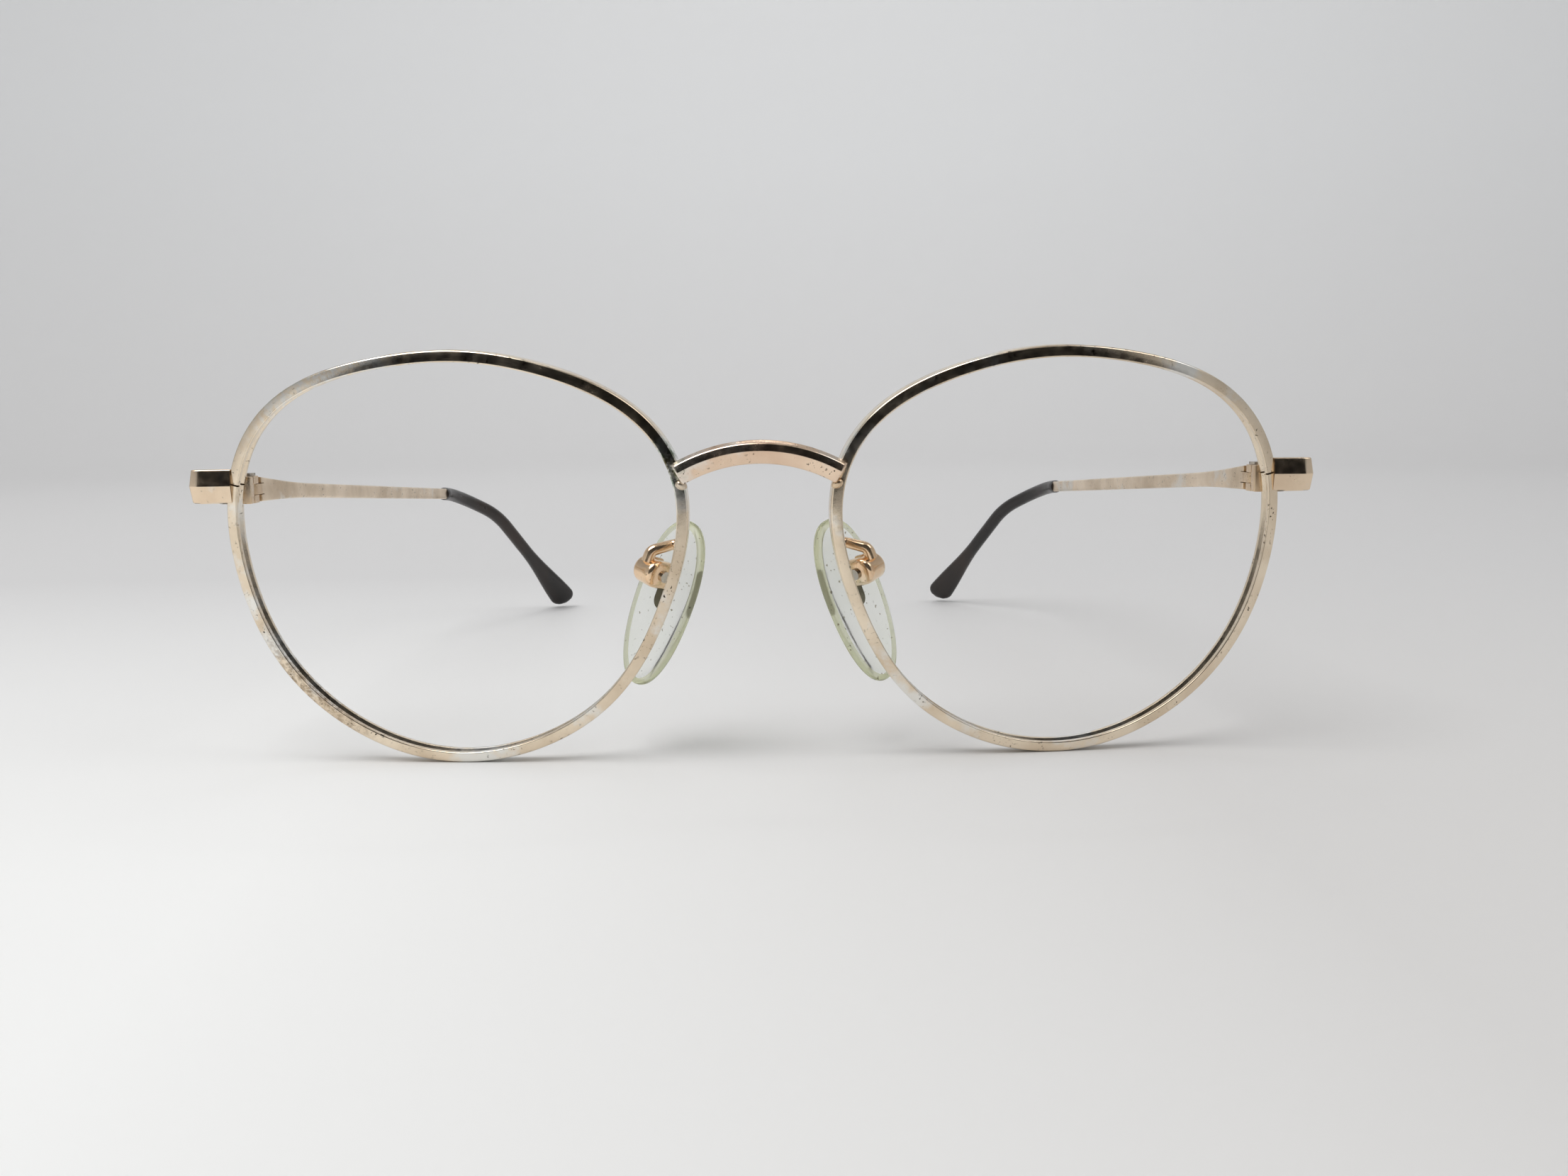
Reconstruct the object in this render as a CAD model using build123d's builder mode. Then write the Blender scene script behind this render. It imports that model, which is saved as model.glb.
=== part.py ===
"""Full-rim metal eyeglasses with folding temples and rocking nose pads. Sizes are in millimetres.

+X is the wearer's left side as seen from the front (called right here), +Y runs back along the
temples, +Z is up. Every piece is first modelled about the point on the front of the rims midway
between the lenses, at the height of the table, and all are then moved together so that the origin
is the middle of the footprint.
"""

import os
from math import cos, pi, radians, sin, sqrt

from build123d import *

# ---- driving dimensions ------------------------------------------------------------------------
fit = 0.05  # gap round pieces that are assembled

# rims and lenses
lens_spacing = 72.8  # between the middles of the two lenses
rim_size = 26.3  # mean radius of the rim's outside
rim_flat = 0.65  # how much nearer than that the lowest point of the rim is
rim_shape = {2: (1.2, -0.1), 3: (-0.15, 1.15), 4: (-0.25, -0.1), 5: (-0.05, 0.2), 6: (-0.15, -0.1)}
rim_width = 1.36  # as seen from the front
rim_depth = 2.2
groove_depth = 0.5
groove_width = 0.8
groove_setback = 0.75  # from the rim's front to the groove
lens_thickness = 1.5
base_curve = 97.6  # radius of the lens and rim front
face_wrap = 3.85  # degrees, outer ends swept back
face_tilt = 5.1  # degrees, tops leaning forward
rim_split = 0.2  # the cut that the rim lock closes

# bridge
bridge_radius = 19.3  # of the bar's middle line
bridge_height = 2.8
bridge_top = 13.7  # above the middle of the lenses
bridge_front = -0.6
bridge_back = 1.7
bridge_lap = 0.4  # how far each end lies over its rim
bridge_flat = 1.1  # height of the front flat between its bevels
bridge_bevel = 0.9  # how far the bevels run back

# lugs and rim locks
lock_above = 8.75  # the cut through the rim above the middle of the lenses
lock_width = 1.5  # out from the rim
lock_screw_reach = 1.0  # from the rim's outside to the screw
lock_depth = 1.1  # front to back
lock_height = 1.7  # of each half
lock_screw_radius = 0.3
lug_reach = 4.55  # out from the rim's outside
lug_proud = 0.9  # in front of the rim
lug_top = 2.0  # above the cut
lug_bottom = 1.95  # below the cut
lug_ridge = 0.35  # how far the ridge stands out of the front
lug_plate = 1.2
lug_corner = 1.0  # radius of the outer front corner
lug_fall = 0.8  # how far its top drops towards the back
lug_back_wall = 0.8

# hinges
hinge_inset = 0.77  # hinge axis to the rim's outside, inward
hinge_radius = 1.15
hinge_below = 2.25  # foot of the hinge below the cut
ear_height = 0.95
tongue_height = 1.25
hinge_gap = 0.04  # above and below the tongue
hinge_plate = 0.55
hinge_screw_radius = 0.5
hinge_bore_gap = 0.03
turning_gap = 0.1  # between the turning knuckle and the plate behind it
screw_head = 0.35  # height
head_share = 1.7  # radius of a screw's head to its shaft's
slot_width = 0.2  # of the screwdriver slots

# temples and tips
temple_length = 88.3  # along Y, from the hinge end to the start of the tip
temple_inward = 1.9  # degrees
temple_drop = 4.3  # degrees
temple_below_cut = 0.7  # the front end's middle line
temple_height_front = 3.0
temple_height_back = 1.95
temple_thickness = 1.4
temple_taper = 17.0  # length over which the front end slims down
skin_width = 1.2  # the part of the front end outside the hinge
tip_diameter = 2.4
core_radius = 0.65
core_length = 24.0
tip_straight = 9.0
tip_bend_radius = 18.0
tip_inward = 18.15  # from the tip's start to its end
tip_back = 32.6
tip_ear_share = 0.5  # where the tip turns down behind the ear, as a share of the way back
tip_ear_inward = 7.0
tip_ear_drop = 5.5
tip_end_height = 1.0  # middle of the tip's end above the table
paddle_length = 16.0
tip_end_width = 4.4
tip_end_thickness = 1.9

# nose pads
pad_out = 1.15  # the pads' middle from the nose side of the rims, outward
pad_behind = 6.64  # and behind it
pad_below = 6.55  # the pads' middle below that of the lenses
pad_length = 21.5
pad_width = 10.0
pad_thickness = 2.2
pad_lean = 20.5  # degrees, tops closer together
pad_splay = 42.0  # degrees, fronts closer together
insert_length = 5.6
insert_width = 2.4
insert_thickness = 0.6
insert_drop = 1.6  # its middle below the tab
tab_offset = 3.6  # up the pad from its middle
tab_reach = 1.8  # from the pad's back to the screw
tab_width = 1.2
tab_radius = 0.8
tab_gap = 0.05  # beside the tab
box_width = 3.4
box_height = 3.4
box_front = 1.3  # from the screw towards the pad
box_wall = 1.4  # at the back, where the arm stands on it
pad_screw_radius = 0.35
pad_wire_radius = 0.55
arm_root_angle = 0.8  # degrees above the rim's inner side
arm_reach = 2.7  # back from the rim
arm_rise = 0.8  # above the box
arm_bend_radius = 1.0
arm_sink = 0.3  # into the rim and the box before it is trimmed to them

half_spacing = lens_spacing / 2
lens_height = rim_size - rim_flat  # above the table
lock_middle = lens_height + lock_above

# ---- shared geometry ---------------------------------------------------------------------------
wrap_slope = sin(radians(face_wrap))
tilt_slope = sin(radians(face_tilt))
eye_plane = Plane(
    origin=(half_spacing, 0, lens_height), x_dir=(1, wrap_slope, 0), z_dir=(wrap_slope, -1, -tilt_slope)
)


def outline_point(angle, inset):
    """A point on the rim's outline, moved in by inset along the outline's normal."""
    radius = rim_size
    slope = 0
    for wave, (along, across) in rim_shape.items():
        radius += along * cos(wave * angle) + across * sin(wave * angle)
        slope += wave * (across * cos(wave * angle) - along * sin(wave * angle))
    length = sqrt(radius**2 + slope**2)
    along_r = radius / length
    along_t = -slope / length
    out = (along_r * cos(angle) - along_t * sin(angle), along_r * sin(angle) + along_t * cos(angle))
    return (radius * cos(angle) - inset * out[0], radius * sin(angle) - inset * out[1])


def outline_prism(inset, plane=eye_plane, reach=14.0, count=40):
    """A straight block with the rim's outline, moved in by inset, through the rim's whole depth."""
    with BuildPart() as prism:
        with BuildSketch(plane.offset(-reach)):
            with BuildLine():
                Spline(*[outline_point(2 * pi * i / count, inset) for i in range(count)], periodic=True)
            make_face()
        extrude(amount=1.4 * reach)
    return prism.part


def dished_slab(inset, setback, thickness):
    """The part of an outline block between two spheres that follow the rim's front."""
    with BuildPart() as slab:
        add(outline_prism(inset))
        with Locations(eye_plane.offset(-base_curve)):
            Sphere(base_curve - setback, rotation=(90, 0, 0), mode=Mode.INTERSECT)
            Sphere(base_curve - setback - thickness, rotation=(90, 0, 0), mode=Mode.SUBTRACT)
    return slab.part


def mirrored(right):
    """The left-hand twin of a right-hand piece."""
    with BuildPart() as left:
        mirror(right, about=Plane.YZ)
    return left.part


def rim_edge(height, inner=False):
    """The front corner of the rim's outside at a height, on its outer or its inner (nose) side."""
    angle = pi if inner else 0
    turn = -1 if inner else 1
    for _ in range(30):
        x, y = outline_point(angle, 0)
        angle += turn * (height - lens_height - y) / rim_size
    return eye_plane.from_local_coords((x, y, -(x**2 + y**2) / (2 * base_curve)))


right_side = {}
middle_piece = {}

# the end piece, the closing block and the hinge are placed from the rim's outside at the cut
rim_side = rim_edge(lock_middle)
lug_front = rim_side.Y - lug_proud
lock_front = lug_front + lug_ridge + lug_plate
lock_back = lock_front + lock_depth
lock_outer = rim_side.X + lock_width
lock_screw_x = rim_side.X + lock_screw_reach
lock_screw_y = (lock_front + lock_back) / 2
lug_back = lock_back + fit + lug_back_wall
lug_outer = rim_side.X + lug_reach
hinge_x = rim_side.X - hinge_inset
hinge_back = lug_back + hinge_plate
hinge_y = hinge_back + turning_gap + hinge_radius
hinge_bottom = lock_middle - hinge_below
temple_front = hinge_y + hinge_radius + turning_gap
temple_inner = hinge_x - hinge_radius
skin_inner = hinge_x + hinge_radius + 2 * turning_gap
skin_outer = skin_inner + skin_width
skin_front = hinge_back + turning_gap

# ---- rims and lenses ---------------------------------------------------------------------------
with BuildPart() as rim:
    add(dished_slab(0, 0, rim_depth))
    add(outline_prism(rim_width), mode=Mode.SUBTRACT)
    add(dished_slab(rim_width - groove_depth, groove_setback, groove_width), mode=Mode.SUBTRACT)
    with Locations((rim_side.X, rim_side.Y, lock_middle)):
        Box(4 * rim_width, 8 * rim_depth, rim_split, mode=Mode.SUBTRACT)
right_side["rim"] = rim.part

with BuildPart() as lens:
    bevel = groove_width - 2 * fit
    add(dished_slab(rim_width + fit, groove_setback + groove_width / 2 - lens_thickness / 2, lens_thickness))
    add(dished_slab(rim_width - groove_depth + fit, groove_setback + fit, bevel))
right_side["lens"] = lens.part

# ---- bridge ------------------------------------------------------------------------------------
bridge_middle = lens_height + bridge_top - bridge_height / 2
bridge_centre = bridge_middle - bridge_radius


def bridge_overlap(angle):
    """How far the bar's middle line lies over the rim's outside at an angle from the top of its arc."""
    height = bridge_centre + bridge_radius * cos(radians(angle))
    return bridge_radius * sin(radians(angle)) - rim_edge(height, inner=True).X


# the bar ends where its middle line laps over the rim by the wanted amount
least_angle = 0.0
bridge_half_angle = 75.0
while bridge_half_angle - least_angle > 0.001:
    middle_angle = (least_angle + bridge_half_angle) / 2
    if bridge_overlap(middle_angle) < bridge_lap:
        least_angle = middle_angle
    else:
        bridge_half_angle = middle_angle

with BuildPart() as bridge:
    with BuildSketch(Plane.YZ):
        with BuildLine():
            Polyline(
                (bridge_front, bridge_middle - bridge_flat / 2),
                (bridge_front, bridge_middle + bridge_flat / 2),
                (bridge_front + bridge_bevel, bridge_middle + bridge_height / 2),
                (bridge_back, bridge_middle + bridge_height / 2),
                (bridge_back, bridge_middle - bridge_height / 2),
                (bridge_front + bridge_bevel, bridge_middle - bridge_height / 2),
                close=True,
            )
        make_face()
    bridge_axis = Axis((0, 0, bridge_centre), (0, 1, 0))
    revolve(axis=bridge_axis, revolution_arc=bridge_half_angle)
    mirror(about=Plane.YZ)
    # each end lies on the front of a rim
    rim_envelope = dished_slab(0, 0, rim_depth * 3)
    add(rim_envelope, mode=Mode.SUBTRACT)
    mirror(rim_envelope, about=Plane.YZ, mode=Mode.SUBTRACT)
middle_piece["bridge"] = bridge.part

# ---- rim locks ---------------------------------------------------------------------------------
def lock_half(bottom):
    """One half of the closing block, soldered to the rim's outside beside the cut."""
    with BuildPart() as half:
        with BuildSketch(Plane.XY.offset(bottom)):
            with BuildLine():
                Polyline(
                    (rim_side.X - rim_width, lock_front),
                    (lock_outer, lock_front),
                    (lock_outer, lock_back),
                    (rim_side.X - rim_width, lock_back),
                    close=True,
                )
            make_face()
        extrude(amount=lock_height)
        add(outline_prism(0), mode=Mode.SUBTRACT)
        with Locations((lock_screw_x, lock_screw_y, bottom + lock_height / 2)):
            Cylinder(lock_screw_radius, 3 * lock_height, mode=Mode.SUBTRACT)
    return half.part


right_side["rim_lock_upper"] = lock_half(lock_middle + rim_split / 2)
right_side["rim_lock_lower"] = lock_half(lock_middle - rim_split / 2 - lock_height)


def slotted_screw(radius, x, y, head_face, shaft_end):
    """A vertical screw whose slotted head stands on head_face and whose shaft runs to shaft_end."""
    outward = screw_head if head_face > shaft_end else -screw_head
    with BuildPart() as screw:
        with BuildSketch(Plane.XY.offset(min(head_face, shaft_end))):
            with Locations((x, y)):
                Circle(radius)
        extrude(amount=abs(head_face - shaft_end))
        with BuildSketch(Plane.XY.offset(head_face)):
            with Locations((x, y)):
                Circle(head_share * radius)
        extrude(amount=outward)
        with Locations((x, y, head_face + outward)):
            Box(4 * radius, slot_width, screw_head, mode=Mode.SUBTRACT)
    return screw.part


lock_foot = lock_middle - rim_split / 2 - lock_height
right_side["rim_lock_screw"] = slotted_screw(
    lock_screw_radius, lock_screw_x, lock_screw_y, lock_foot, lock_middle + rim_split / 2 + lock_height
)

# ---- lug ---------------------------------------------------------------------------------------
with BuildPart() as lug:
    with BuildSketch(Plane.XY.offset(lock_middle - 2 * lug_bottom)):
        with BuildLine():
            front_line = Polyline(
                (temple_inner, lug_back),
                (temple_inner, lug_front),
                (lug_outer - lug_corner, lug_front),
            )
            corner = TangentArc(front_line @ 1, (lug_outer, lug_front + lug_corner), tangent=(1, 0))
            Polyline(
                corner @ 1,
                (lug_outer - 0.2 * lug_corner, lug_front + 1.4 * lug_corner),
                (skin_outer, lug_back),
            )
            Line((skin_outer, lug_back), (temple_inner, lug_back))
        make_face()
    extrude(amount=2 * (lug_top + lug_bottom))
    # the gabled side profile
    with BuildSketch(Plane.YZ.offset(temple_inner - 1)):
        with BuildLine():
            Polyline(
                (lug_front, lock_middle),
                (lug_front + lug_ridge, lock_middle + lug_top),
                (lug_back + 1, lock_middle + lug_top - lug_fall),
                (lug_back + 1, lock_middle - lug_bottom - lug_fall / 2),
                (lug_front + lug_ridge, lock_middle - lug_bottom),
                close=True,
            )
        make_face()
    extrude(amount=3 * lug_reach, mode=Mode.INTERSECT)
    # the rim and the closing block sit in it
    add(outline_prism(0), mode=Mode.SUBTRACT)
    with Locations((lock_outer + fit, lock_front - fit, lock_middle)):
        Box(
            3 * lock_width,
            lock_depth + 2 * fit,
            3 * (lug_top + lug_bottom),
            align=(Align.MAX, Align.MIN, Align.CENTER),
            mode=Mode.SUBTRACT,
        )
right_side["lug"] = lug.part

# ---- hinge -------------------------------------------------------------------------------------
tongue_bottom = hinge_bottom + ear_height + hinge_gap
top_ear_bottom = tongue_bottom + tongue_height + hinge_gap
hinge_top = top_ear_bottom + ear_height


def knuckle(bottom, height, front, back, bore, outer=hinge_radius):
    """One knuckle about the hinge axis, with a shank from front to back along Y."""
    with BuildPart() as barrel:
        with BuildSketch(Plane.XY.offset(bottom)):
            with Locations((hinge_x, hinge_y)):
                Circle(outer)
            with Locations((hinge_x, (front + back) / 2)):
                Rectangle(2 * outer, back - front)
            with Locations((hinge_x, hinge_y)):
                Circle(bore, mode=Mode.SUBTRACT)
        extrude(amount=height)
    return barrel.part


with BuildPart() as front_hinge:
    with BuildSketch(Plane.XY.offset(hinge_bottom)):
        with Locations((hinge_x, lug_back)):
            Rectangle(skin_outer - hinge_x, hinge_plate, align=(Align.MIN, Align.MIN))
            Rectangle(hinge_radius, hinge_plate, align=(Align.MAX, Align.MIN))
    extrude(amount=hinge_top - hinge_bottom)
    add(knuckle(hinge_bottom, ear_height, hinge_back, hinge_y, hinge_screw_radius))
    add(knuckle(top_ear_bottom, ear_height, hinge_back, hinge_y, hinge_screw_radius))
right_side["front_hinge"] = front_hinge.part

right_side["hinge_screw"] = slotted_screw(hinge_screw_radius, hinge_x, hinge_y, hinge_top, hinge_bottom)

shank_end = temple_front + 2 * hinge_radius
right_side["temple_hinge"] = knuckle(
    tongue_bottom, tongue_height, hinge_y, shank_end, hinge_screw_radius + hinge_bore_gap
)

# ---- temple ------------------------------------------------------------------------------------
# a straight bar that slims down behind the hinge; its middle line drops and runs inward
inward = sin(radians(temple_inward))
drop = sin(radians(temple_drop))
temple_dir = Vector(-inward, 1, -drop).normalized()
temple_middle = lock_middle - temple_below_cut
temple_end = temple_front + temple_length
slim_y = temple_front + temple_taper


def inner_at(y):
    """X of the temple's inner face."""
    return temple_inner - inward * (y - temple_front)


def middle_at(y):
    """Height of the temple's middle line."""
    return temple_middle - drop * (y - temple_front)


with BuildPart() as bar:
    # plan: thick round the hinge, thin behind it
    with BuildSketch(Plane.XY.offset(middle_at(temple_end) - temple_height_front)):
        with BuildLine():
            Polyline(
                (temple_inner, temple_front),
                (skin_inner, temple_front),
                (skin_inner, skin_front),
                (skin_outer, skin_front),
                (skin_outer - 0.5, temple_front + 1.5),
                (inner_at(slim_y) + temple_thickness, slim_y),
                (inner_at(temple_end) + temple_thickness, temple_end),
                (inner_at(temple_end), temple_end),
                close=True,
            )
        make_face()
    extrude(amount=drop * temple_length + 3 * temple_height_front)
    # side profile: tall at the hinge, low behind it
    with BuildSketch(Plane.YZ.offset(inner_at(temple_end) - 1)):
        with BuildLine():
            heights = [
                (skin_front, temple_height_front / 2),
                (temple_front, temple_height_front / 2),
                (slim_y, temple_height_back / 2),
                (temple_end, temple_height_back / 2),
            ]
            top_line = [(y, middle_at(y) + half) for y, half in heights]
            bottom_line = [(y, middle_at(y) - half) for y, half in reversed(heights)]
            Polyline(*top_line, *bottom_line, close=True)
        make_face()
    extrude(amount=skin_outer - inner_at(temple_end) + 2, mode=Mode.INTERSECT)
    # the slot that holds the centre knuckle's shank
    add(knuckle(tongue_bottom, tongue_height, hinge_y, shank_end, 0.01), mode=Mode.SUBTRACT)

# the tip's path: on along the temple, round the ear, then down to the table
tip_start = Vector(inner_at(temple_end) + temple_thickness / 2, temple_end, middle_at(temple_end))
tip_bend = tip_start + temple_dir * tip_straight
tip_ear = Vector(tip_start.X - tip_ear_inward, tip_start.Y + tip_back * tip_ear_share, tip_start.Z - tip_ear_drop)
tip_end = Vector(tip_start.X - tip_inward, tip_start.Y + tip_back, tip_end_height)
with BuildLine() as tip_line:
    FilletPolyline(tip_start, tip_bend, tip_ear, tip_end, radius=tip_bend_radius)
tip_path = tip_line.wires()[0]
core_path = tip_path.trim(0, core_length / tip_path.length)


def swept_round(path, radius):
    """A round rod along a path."""
    with BuildPart() as rod:
        with BuildSketch(Plane(origin=path @ 0, z_dir=path % 0)):
            Circle(radius)
        sweep(path=path)
    return rod.part


core = swept_round(core_path, core_radius)
with BuildPart() as temple:
    add(bar.part)
    add(core)
right_side["temple"] = temple.part

# the paddle lies across the end of the tip, its flat facing the wearer's head
end_dir = (tip_end - tip_ear).normalized()
paddle_side = Vector(0.87, 0.1, -0.5)
paddle_side = (paddle_side - end_dir * paddle_side.dot(end_dir)).normalized()
paddle_plane = Plane(origin=tip_end, x_dir=end_dir, z_dir=end_dir.cross(paddle_side))
with BuildPart() as temple_tip:
    add(swept_round(tip_path, tip_diameter / 2))
    with BuildSketch(paddle_plane.offset(-tip_end_thickness / 2)):
        with BuildLine():
            paddle_top = Spline(
                (-paddle_length, tip_diameter / 2 - 0.3),
                (-paddle_length / 2, tip_end_width * 0.36),
                (-tip_end_width / 2, tip_end_width / 2),
            )
            rounded_end = TangentArc(paddle_top @ 1, (-tip_end_width / 2, -tip_end_width / 2), tangent=(1, 0))
            paddle_bottom = Spline(
                rounded_end @ 1,
                (-paddle_length / 2, -tip_end_width * 0.36),
                (-paddle_length, -tip_diameter / 2 + 0.3),
            )
            Line(paddle_bottom @ 1, paddle_top @ 0)
        make_face()
    extrude(amount=tip_end_thickness)
    add(temple.part, mode=Mode.SUBTRACT)
right_side["temple_tip"] = temple_tip.part

# ---- nose pads ---------------------------------------------------------------------------------
pad_up = Vector(-sin(radians(pad_lean)), 0, cos(radians(pad_lean)))
pad_normal = Vector(-cos(radians(pad_splay)), sin(radians(pad_splay)), 0)
pad_normal = (pad_normal - pad_up * pad_normal.dot(pad_up)).normalized()
pad_side = rim_edge(lens_height - pad_below, inner=True)
pad_plane = Plane(
    origin=(pad_side.X + pad_out, pad_side.Y + pad_behind, lens_height - pad_below),
    x_dir=pad_up.cross(pad_normal),
    z_dir=pad_normal,
)
tab_axis_depth = pad_thickness / 2 + tab_reach
tab_axis_plane = Plane(
    origin=pad_plane.from_local_coords((0, tab_offset, -tab_axis_depth)),
    x_dir=pad_plane.y_dir,
    z_dir=-pad_plane.x_dir,
)
# in this plane x runs up the pad, y runs out of its back, z along the screw

with BuildPart() as pad_insert:
    with BuildSketch(pad_plane.offset(-insert_thickness / 2)):
        with Locations((0, tab_offset - insert_drop)):
            SlotOverall(insert_length, insert_width, rotation=90)
    extrude(amount=insert_thickness)
    with BuildSketch(tab_axis_plane.offset(-tab_width / 2)):
        Circle(tab_radius)
        with Locations((0, -tab_axis_depth / 2)):
            Rectangle(2 * tab_radius, tab_axis_depth)
        Circle(pad_screw_radius + hinge_bore_gap, mode=Mode.SUBTRACT)
    extrude(amount=tab_width)
right_side["pad_insert"] = pad_insert.part

with BuildPart() as nose_pad:
    with BuildSketch(pad_plane.offset(-pad_thickness / 2)):
        Ellipse(pad_width / 2, pad_length / 2)
    extrude(amount=pad_thickness)
    fillet(nose_pad.edges(), pad_thickness * 0.3)
    add(pad_insert.part, mode=Mode.SUBTRACT)
right_side["nose_pad"] = nose_pad.part

box_cavity = tab_radius + 0.2
box_back = box_cavity + box_wall
with BuildPart() as pad_box:
    with BuildSketch(tab_axis_plane.offset(-box_width / 2)):
        with Locations((0, (box_back - box_front) / 2)):
            Rectangle(box_height, box_back + box_front)
    extrude(amount=box_width)
    with BuildSketch(tab_axis_plane.offset(-tab_width / 2 - tab_gap)):
        with Locations((0, (box_cavity - box_front) / 2)):
            Rectangle(2 * box_height, box_cavity + box_front)
    extrude(amount=tab_width + 2 * tab_gap, mode=Mode.SUBTRACT)
    with BuildSketch(tab_axis_plane.offset(-box_width)):
        Circle(pad_screw_radius)
    extrude(amount=2 * box_width, mode=Mode.SUBTRACT)
right_side["pad_box"] = pad_box.part

with BuildPart() as pad_screw:
    with BuildSketch(tab_axis_plane.offset(-box_width / 2)):
        Circle(pad_screw_radius)
    extrude(amount=box_width)
    with BuildSketch(tab_axis_plane.offset(-box_width / 2)):
        Circle(pad_screw_radius + 0.35)
    extrude(amount=-0.35)
right_side["pad_screw"] = pad_screw.part

arm_angle = pi - radians(arm_root_angle)
arm_local = outline_point(arm_angle, rim_width / 2)
arm_depth = (arm_local[0] ** 2 + arm_local[1] ** 2) / (2 * base_curve) + rim_depth
arm_root = eye_plane.from_local_coords((*arm_local, -arm_depth + arm_sink))
box_top = box_height / 2
arm_end = tab_axis_plane.from_local_coords((box_top - arm_sink, box_back - pad_wire_radius, 0))
arm_drop = tab_axis_plane.from_local_coords((box_top + arm_rise, box_back - pad_wire_radius, 0))
arm_back = arm_root + Vector(0.2, arm_sink + arm_reach, 0.2)
with BuildLine() as arm_line:
    FilletPolyline(arm_root, arm_back, arm_drop, arm_end, radius=arm_bend_radius)
with BuildPart() as pad_arm:
    add(swept_round(arm_line.wires()[0], pad_wire_radius))
    add(rim.part, mode=Mode.SUBTRACT)
    add(pad_box.part, mode=Mode.SUBTRACT)
right_side["pad_arm"] = pad_arm.part

# ---- both sides, placed on the table -----------------------------------------------------------
pieces = dict(middle_piece)
for piece_name, piece in right_side.items():
    pieces[f"right_{piece_name}"] = piece
    pieces[f"left_{piece_name}"] = mirrored(piece)
extent = Compound(children=[piece.solids()[0] for piece in pieces.values()]).bounding_box()
to_origin = Vector(0, -extent.center().Y, -extent.min.Z)

if __name__ == "__main__":
    os.makedirs("parts", exist_ok=True)
    for piece_name, piece in pieces.items():
        placed = piece.moved(Location(to_origin))
        placed.label = piece_name
        export_step(placed, f"parts/{piece_name}.step")
    print("overall size", extent.size, "moved by", to_origin)
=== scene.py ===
"""Worn gold wire eyeglasses on a pale table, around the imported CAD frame.

Pieces are built in millimetres in the design frame of the model (origin on the symmetry plane, at
the front of the rims, on the table) and written to their meshes in metres, moved to the row frame.
"""

from math import atan2, cos, pi, radians, sin, sqrt, tan

import bmesh
import bpy
from mathutils import Matrix, Vector


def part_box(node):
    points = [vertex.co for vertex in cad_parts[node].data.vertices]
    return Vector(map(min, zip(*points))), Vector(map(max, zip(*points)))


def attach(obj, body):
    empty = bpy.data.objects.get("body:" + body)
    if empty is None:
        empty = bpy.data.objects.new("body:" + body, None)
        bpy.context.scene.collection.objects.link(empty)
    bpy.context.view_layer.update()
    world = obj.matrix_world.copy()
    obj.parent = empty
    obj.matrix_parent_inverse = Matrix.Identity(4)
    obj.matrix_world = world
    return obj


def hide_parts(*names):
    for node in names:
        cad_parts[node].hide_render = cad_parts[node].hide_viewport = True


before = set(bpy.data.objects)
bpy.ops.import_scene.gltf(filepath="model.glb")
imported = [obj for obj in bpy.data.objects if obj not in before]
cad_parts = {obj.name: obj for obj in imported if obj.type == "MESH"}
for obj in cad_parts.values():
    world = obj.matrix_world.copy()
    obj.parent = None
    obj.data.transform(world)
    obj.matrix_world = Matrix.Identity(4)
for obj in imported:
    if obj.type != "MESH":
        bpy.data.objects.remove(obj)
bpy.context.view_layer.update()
scene = bpy.context.scene

MM = 0.001
SIDES = {"right": 1, "left": -1}
BRIDGE_FRONT = -0.6  # of the design frame, where the CAD bridge starts
RIM_FOOT = 0.106
origin = Vector((0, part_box("bridge")[0].y / MM - BRIDGE_FRONT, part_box("right_rim")[0].z / MM - RIM_FOOT))


# ---- geometry helpers ----------------------------------------------------------------------------
def rounded(corners, radius, steps=3):
    """A closed 2-D outline with every corner rounded; a corner may give its own radius third."""
    out = []
    count = len(corners)
    for i, corner in enumerate(corners):
        here = Vector(corner[:2])
        before = Vector(corners[i - 1][:2]) - here
        after = Vector(corners[(i + 1) % count][:2]) - here
        size = corner[2] if len(corner) > 2 else radius
        half = before.angle(after) / 2
        if size <= 0 or half > pi / 2 - 0.02:
            out.append(here)
            continue
        reach = min(size / tan(half), before.length * 0.49, after.length * 0.49)
        size = reach * tan(half)
        middle = here + (before.normalized() + after.normalized()).normalized() * size / sin(half)
        start = here + before.normalized() * reach - middle
        stop = here + after.normalized() * reach - middle
        for k in range(steps + 1):
            part = k / steps
            turn = start.angle(stop)
            weight_a = sin((1 - part) * turn) / sin(turn)
            weight_b = sin(part * turn) / sin(turn)
            out.append(middle + start * weight_a + stop * weight_b)
    return [(p.x, p.y) for p in out]


def rounded_path(points, radius, step=0.6):
    """A 3-D path of straight runs joined by arcs, as points about step apart."""
    points = [Vector(p) for p in points]
    out = [points[0]]
    for before, here, after in zip(points, points[1:], points[2:]):
        one = (before - here).normalized()
        two = (after - here).normalized()
        half = one.angle(two) / 2
        size = min(radius, tan(half) * 0.49 * min((before - here).length, (after - here).length) * 1.9)
        middle = here + (one + two).normalized() * size / sin(half)
        start = here + one * size / tan(half) - middle
        stop = here + two * size / tan(half) - middle
        turn = start.angle(stop)
        steps = max(4, int(turn * size / step))
        for k in range(steps + 1):
            part = k / steps
            out.append(middle + (start * sin((1 - part) * turn) + stop * sin(part * turn)) / sin(turn))
    out.append(points[-1])
    dense = [out[0]]
    for a, b in zip(out, out[1:]):
        cuts = max(1, int((b - a).length / step / 2))
        dense += [a.lerp(b, k / cuts) for k in range(1, cuts + 1)]
    return dense


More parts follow.
